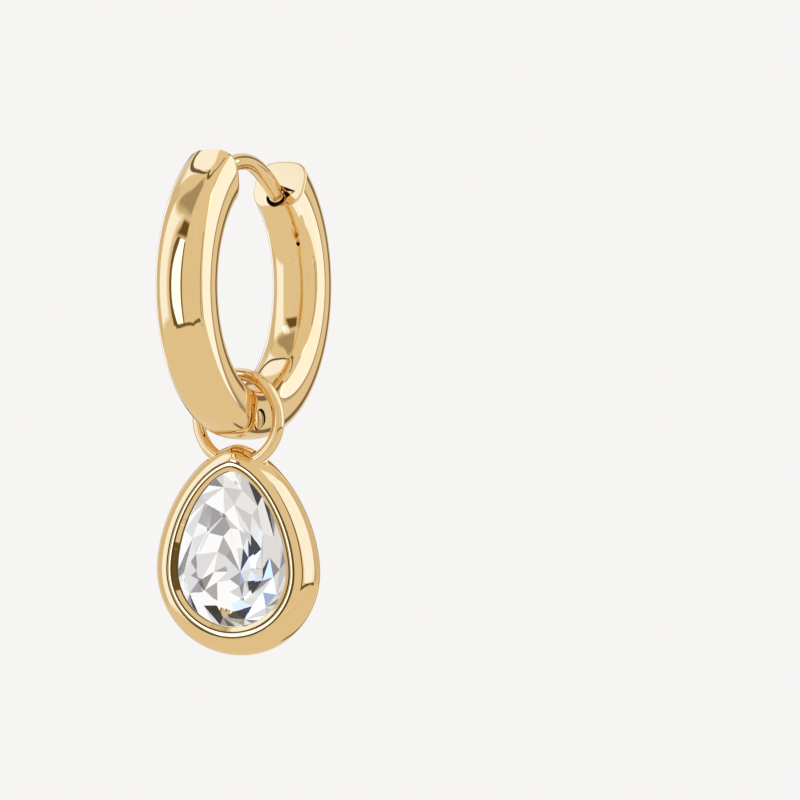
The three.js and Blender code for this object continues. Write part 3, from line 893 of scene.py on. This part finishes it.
class EARRING_OT_hinge_pin(bpy.types.Operator):
    """Build the hinge pin with its low domed ends"""

    bl_idname = "earring.hinge_pin"
    bl_label = "Hinge pin"

    def execute(self, context):
        plan = Plan()
        hoop = plan.hoop
        half = plan.half_width + hoop["pin_proud"]
        sides = 96
        rings = []
        for side in (-1, 1):
            for bend in range(2, 91, 8)[::side]:
                radius = hoop["pin_radius"] * math.sin(math.radians(bend))
                dome = hoop["pin_dome"] * (1 - math.cos(math.radians(bend)))
                rings.append([(side * (half - dome), y, z) for y, z in arc(
                    plan.pin, radius, 0, 360 * (1 - 1 / sides), sides - 1)])
        pin = loft("pin", rings)
        hand_over(plan.raised(pin), FRONT_BODY, [gold()], ["hinge_pin"], crease=50)
        return {"FINISHED"}


def ring_of_wire(plan, name, extra=0.0, steps=192):
    """The jump ring, fatter by extra for the tunnel that it passes through."""
    radius = plan.drop["ring_wire"] / 2 + extra
    sides = plan.finish.wire_sides
    rings = []
    for k in range(steps):
        a = 2 * math.pi * k / steps
        ring = []
        for i in range(sides):
            t = 2 * math.pi * i / sides
            out = plan.ring_radius + radius * math.cos(t)
            ring.append((out * math.cos(a), plan.ring_y + radius * math.sin(t),
                         plan.ring_z + out * math.sin(a)))
        rings.append(ring)
    return loft(name, rings, closed=True)


class EARRING_OT_jump_ring(bpy.types.Operator):
    """Build the jump ring that carries the drop"""

    bl_idname = "earring.jump_ring"
    bl_label = "Jump ring"

    def execute(self, context):
        plan = Plan()
        ring = ring_of_wire(plan, "link_ring")
        hand_over(ring, RING_BODY, [gold()], ["jump_ring"])
        return {"FINISHED"}


class EARRING_OT_drop_setting(bpy.types.Operator):
    """Build the teardrop setting with its ridge, bevel, seat and bored top"""

    bl_idname = "earring.drop_setting"
    bl_label = "Drop setting"

    def execute(self, context):
        plan = Plan()
        drop, steps = plan.drop, plan.finish.outline_steps
        depth, rim = plan.back_y - plan.front_y, drop["rim_inset"]
        land, groove = drop["rim_land"] / 2, drop["rim_groove"]
        shoulder = rim - land - groove
        body = smooth_column([(0.008, shoulder / rim), *BODY_SHAPE], 52)
        ridge = [
            (0.012, rim + land + groove), (groove, rim + land + groove / 2), (0.004, rim + land),
            (0.0, rim + land / 2), (0.0, rim - land / 2), (0.004, rim - land),
            (groove, rim - land - groove / 2),
        ]
        rings = [
            plan.drop_ring(plan.pocket_y, plan.seat_inset + drop["pocket_narrowing"], steps),
            plan.drop_ring(plan.seat_y + drop["seat_wall"], plan.seat_inset, steps),
            plan.drop_ring(plan.seat_y, plan.seat_inset, steps),
        ]
        rings += [plan.drop_ring(plan.front_y + deep, inset, steps) for deep, inset in ridge]
        rings += [plan.drop_ring(plan.front_y + depth * level, rim * inset, steps)
                  for level, inset in body]
        setting = loft("setting", rings)
        for part in (-1.0, -0.5, 0.0, 0.5, 1.0):
            tunnel = ring_of_wire(plan, "tunnel", drop["tunnel_gap"], 96)
            turned_about(tunnel, (plan.ring_y, plan.ring_bottom), part * drop["swing"])
            combine(setting, tunnel, "DIFFERENCE")
        hand_over(setting, DROP_BODY, [gold()], ["drop_setting"], crease=20)
        setting.visible_glossy = False
        bored = drop["ring_wire"] / 2 + drop["tunnel_gap"] + STEP_SLACK

        def hidden(place, normal):
            """Painted shade: on the seat's wall, in the fine lines beside the ridge, or inside the
            tunnel.
            """
            faces_in = place.x * normal.x + (place.z - plan.widest_z) * normal.z < 0
            upright, sloping = abs(normal.y) < 0.5, abs(normal.y) < 0.8
            on_wall = faces_in and upright and place.y < plan.pocket_y
            in_line = sloping and place.y < plan.front_y + groove
            off_circle = math.hypot(place.x, place.z - plan.ring_z) - plan.ring_radius
            off_wire = math.hypot(off_circle, place.y - plan.ring_y)
            return on_wall or in_line or (off_wire < bored and abs(place.x) < TUNNEL_REACH)

        # Painted shade on the seat's wall, the fine lines beside the ridge and the tunnel
        shade_faces(setting, hidden)
        return {"FINISHED"}


def stitched(start, count, other_start, other_count):
    """Triangles between two rings of points that may have unlike numbers of points."""
    faces, i, j = [], 0, 0
    while i < count or j < other_count:
        a, b = start + i % count, other_start + j % other_count
        if j >= other_count or (i < count and (i + 1) * other_count <= (j + 1) * count):
            faces.append((a, start + (i + 1) % count, b))
            i += 1
        else:
            faces.append((a, other_start + (j + 1) % other_count, b))
            j += 1
    return faces


class EARRING_OT_crystal(bpy.types.Operator):
    """Build the cut crystal: table, crown rows, girdle and a foiled pavilion of many rows"""

    bl_idname = "earring.crystal"
    bl_label = "Crystal"

    def execute(self, context):
        plan = Plan()
        drop = plan.drop
        inset = plan.seat_inset + drop["crystal_gap"]
        girdle_y = plan.seat_y + drop["crystal_gap"]
        table_y = girdle_y - drop["crown"]
        under = girdle_y + drop["girdle"]
        culet_y = plan.pocket_y - drop["culet_above"]
        deep = culet_y - under
        sides = STONE_SIDES
        crown = [(table_y, drop["table_share"], 0.0), (girdle_y - drop["crown"] * 0.45, 0.82, 0.5)]
        chance = random.Random(11)
        rings = [plan.drop_ring(y, inset, sides, size, turn) for y, size, turn in crown]
        rings += [plan.drop_ring(y, inset, GIRDLE_SIDES) for y in (girdle_y, under)]
        for level, size, turn in PAVILION_ROWS:
            ring = plan.drop_ring(under + deep * level, inset, sides, size, turn)
            rings.append([tuple(value + chance.uniform(-stray, stray)
                                for value, stray in zip(point, (STRAY, STRAY_DEEP, STRAY)))
                          for point in ring])
        points, faces = [], [tuple(range(sides))]
        for before, after in zip(rings, rings[1:]):
            start = len(points)
            points += before
            faces += stitched(start, len(before), start + len(before), len(after))
        tail = len(points)
        points += rings[-1] + [(CULET_ASIDE, culet_y, plan.widest_z - CULET_ASIDE)]
        faces += [(tail + i, tail + (i + 1) % sides, len(points) - 1) for i in range(sides)]
        stone = mesh_object("stone", points, faces)
        glass, foil = clear_glass(), mirror_foil(plan.finish)
        hand_over(stone, DROP_BODY, [glass, foil], ["crystal"], crease=0)
        stone.visible_glossy = False
        # Painted reflections: each foiled facet gets a tone at random, dark ones more often low or
        # right as painted shade
        facet_reflections = stone.data.color_attributes.new("painted_facet_reflection", "FLOAT_COLOR", "CORNER")
        for face in stone.data.polygons:
            middle = face.center / MILLIMETRE
            low_right = middle.x > RIGHT_FROM or middle.z < plan.widest_z - LOW_FROM
            tone = chance.choices(PAINTED_FACET_REFLECTIONS, FACET_CHANCES[low_right])[0]
            for corner in face.loop_indices:
                facet_reflections.data[corner].color = opaque(tone)
            face.material_index = 1 if middle.y > under + STEP_SLACK else 0
        return {"FINISHED"}


class EARRING_OT_studio(bpy.types.Operator):
    """Set up the camera, the pale floor and the soft studio light"""

    bl_idname = "earring.studio"
    bl_label = "Studio"

    def execute(self, context):
        scene = context.scene
        sizes, finish, plan = scene.earring_studio, scene.earring_finish, Plan()
        self.camera(scene, sizes, plan)
        self.floor(sizes, finish)
        self.light(scene, finish)
        scene.view_settings.view_transform = "Standard"
        scene.view_settings.look = "None"
        return {"FINISHED"}

    @staticmethod
    def camera(scene, sizes, plan):
        """The camera at the photograph's viewing angle."""
        angle = math.radians(sizes.azimuth)
        toward = Vector((math.sin(angle), -math.cos(angle), 0.0))
        right = Vector((math.cos(angle), math.sin(angle), 0.0))
        centre = Vector((0, 0, -plan.rise * MILLIMETRE))
        eye = centre + toward * sizes.distance
        target = centre + right * sizes.aim_right - Vector((0, 0, sizes.aim_down))
        lens = bpy.data.cameras.new("camera")
        lens.lens = sizes.focal
        lens.sensor_width = 36.0
        lens.clip_start = 0.005
        lens.clip_end = 10.0
        camera = bpy.data.objects.new("camera", lens)
        camera.rotation_mode = "QUATERNION"
        camera.location = eye
        camera.rotation_quaternion = (target - eye).to_track_quat("-Z", "Y")
        scene.collection.objects.link(camera)
        scene.camera = camera

    @staticmethod
    def floor(sizes, finish):
        """A plain pale disc well below the earring."""
        steps = 96
        rim = [(sizes.floor_radius * math.cos(2 * math.pi * i / steps),
                sizes.floor_radius * math.sin(2 * math.pi * i / steps), -sizes.floor_down)
               for i in range(steps)]
        mesh = bpy.data.meshes.new("floor")
        mesh.from_pydata(rim, [], [tuple(range(steps))])
        disc = bpy.data.objects.new("floor", mesh)
        bpy.context.scene.collection.objects.link(disc)
        material, nodes = new_material("pale_floor")
        surface = nodes.add("ShaderNodeEmission", {}, {"Color": opaque(finish.backdrop)})
        nodes.add("ShaderNodeOutputMaterial", {}, {"Surface": surface})
        mesh.materials.append(material)
        disc.visible_glossy = disc.visible_transmission = False

    @staticmethod
    def light(scene, finish):
        """Soft panels all round with narrow dark gaps, as a jewellery light tent has."""
        scene.world = bpy.data.worlds.new("light_tent")
        scene.world.use_nodes = True
        nodes = Nodes(scene.world.node_tree)
        direction = nodes.add("ShaderNodeTexCoord", output="Generated")
        split = {axis: nodes.add("ShaderNodeSeparateXYZ", {}, {"Vector": direction}, output=axis)
                 for axis in "XYZ"}
        azimuth = split["X"].maths("ARCTAN2", split["Y"] * -1.0) * math.degrees(1.0)
        height = split["Z"].maths("ARCSINE") * math.degrees(1.0)

        def band(card):
            """1 where a card of the tent hangs, falling off over its soft edge."""
            across = azimuth - card.middle
            up = height - across * card.slope if card.slope else height
            sides = ((across.maths("ABSOLUTE") * -1.0 + card.half_width) / card.soft + 0.5).clamped()
            over = ((up - card.low) / card.soft + 0.5).clamped()
            return sides * over * ((up * -1.0 + card.high) / card.soft + 0.5).clamped()

        glow, shade = 0.0, 1.0
        for card in TENT:
            if card.light > 0:
                glow = band(card) * card.light + glow
            else:
                shade = (band(card) * card.light + 1.0) * shade
        cloth = nodes.blend(shade, opaque(DARK), nodes.blend(glow, opaque(CLOTH), opaque(SOFT_BOX)))
        seen = nodes.add("ShaderNodeLightPath", output="Is Camera Ray")
        tent = nodes.add("ShaderNodeBackground", {}, {"Color": cloth})
        plain = nodes.add("ShaderNodeBackground", {}, {"Color": opaque(finish.backdrop)})
        both = nodes.add("ShaderNodeMixShader", {}, {0: seen, 1: tent, 2: plain})
        nodes.add("ShaderNodeOutputWorld", {}, {"Surface": both})


class EARRING_OT_panels(bpy.types.Operator):
    """Hang the soft boxes that each light one group of pieces alone"""

    bl_idname = "earring.panels"
    bl_label = "Soft boxes"

    def execute(self, context):
        plan = Plan()
        for pieces, boxes in LINKED_BOXES.items():
            receivers = bpy.data.collections.new(f"lit_{pieces[0]}")
            for piece in pieces:
                receivers.objects.link(bpy.data.objects[piece])
            for number, (card, light) in enumerate(boxes):
                self.soft_box(f"{pieces[0]}_box_{number}", card, light, receivers, plan)
        return {"FINISHED"}

    @staticmethod
    def soft_box(name, card, light, receivers, plan):
        """One flat soft box, far off, that faces the earring."""
        far = BOX_DISTANCE
        tall = (card.high - card.low) / 2
        azimuth, height = math.radians(card.middle), math.radians(card.low + tall)
        away = Vector((math.sin(azimuth) * math.cos(height), -math.cos(azimuth) * math.cos(height),
                       math.sin(height)))
        lamp = bpy.data.lights.new(name, "AREA")
        lamp.shape = "RECTANGLE"
        lamp.size = 2 * far * math.tan(math.radians(card.half_width)) * math.cos(height)
        lamp.size_y = 2 * far * math.tan(math.radians(tall))
        brightest = max(light)
        lamp.color = [part / brightest for part in light]
        lamp.energy = math.pi * lamp.size * lamp.size_y * card.light * brightest
        box = bpy.data.objects.new(name, lamp)
        box.location = Vector((0, 0, -plan.rise * MILLIMETRE)) + away * far
        box.rotation_mode = "QUATERNION"
        roll = Quaternion((0, 0, 1), math.atan(card.slope / math.cos(height)))
        box.rotation_quaternion = away.to_track_quat("Z", "Y") @ roll
        box.visible_camera = False
        box.light_linking.receiver_collection = receivers
        bpy.context.scene.collection.objects.link(box)


class EARRING_PT_panel(bpy.types.Panel):
    """Lists the pieces and the studio"""

    bl_idname = "EARRING_PT_panel"
    bl_label = "Teardrop earring"
    bl_space_type = "VIEW_3D"
    bl_region_type = "UI"
    bl_category = "Earring"

    def draw(self, context):
        for operator in OPERATORS:
            self.layout.operator(operator.bl_idname)
        for name in GROUPS:
            group = getattr(context.scene, name)
            box = self.layout.box()
            for key in group.bl_rna.properties.keys():
                if key not in {"rna_type", "name"}:
                    box.prop(group, key)


GROUPS = {
    "earring_hoop": HoopSizes,
    "earring_post": PostSizes,
    "earring_drop": DropSizes,
    "earring_finish": FinishSizes,
    "earring_studio": StudioSizes,
}
OPERATORS = [
    EARRING_OT_studio, EARRING_OT_near_half, EARRING_OT_far_half, EARRING_OT_ear_post,
    EARRING_OT_hinge_pin, EARRING_OT_jump_ring, EARRING_OT_drop_setting, EARRING_OT_crystal,
    EARRING_OT_panels,
]
CLASSES = [*GROUPS.values(), *OPERATORS, EARRING_PT_panel]


def register():
    """Adds the classes and the scene's property groups."""
    for item in CLASSES:
        bpy.utils.register_class(item)
    for name, group in GROUPS.items():
        setattr(bpy.types.Scene, name, PointerProperty(type=group))


def unregister():
    """Takes them away again."""
    for name in GROUPS:
        delattr(bpy.types.Scene, name)
    for item in reversed(CLASSES):
        bpy.utils.unregister_class(item)


def main():
    """Builds the studio and every piece."""
    register()
    for operator in OPERATORS:
        _, name = operator.bl_idname.split(".")
        getattr(bpy.ops.earring, name)()


if __name__ == "__main__":
    main()
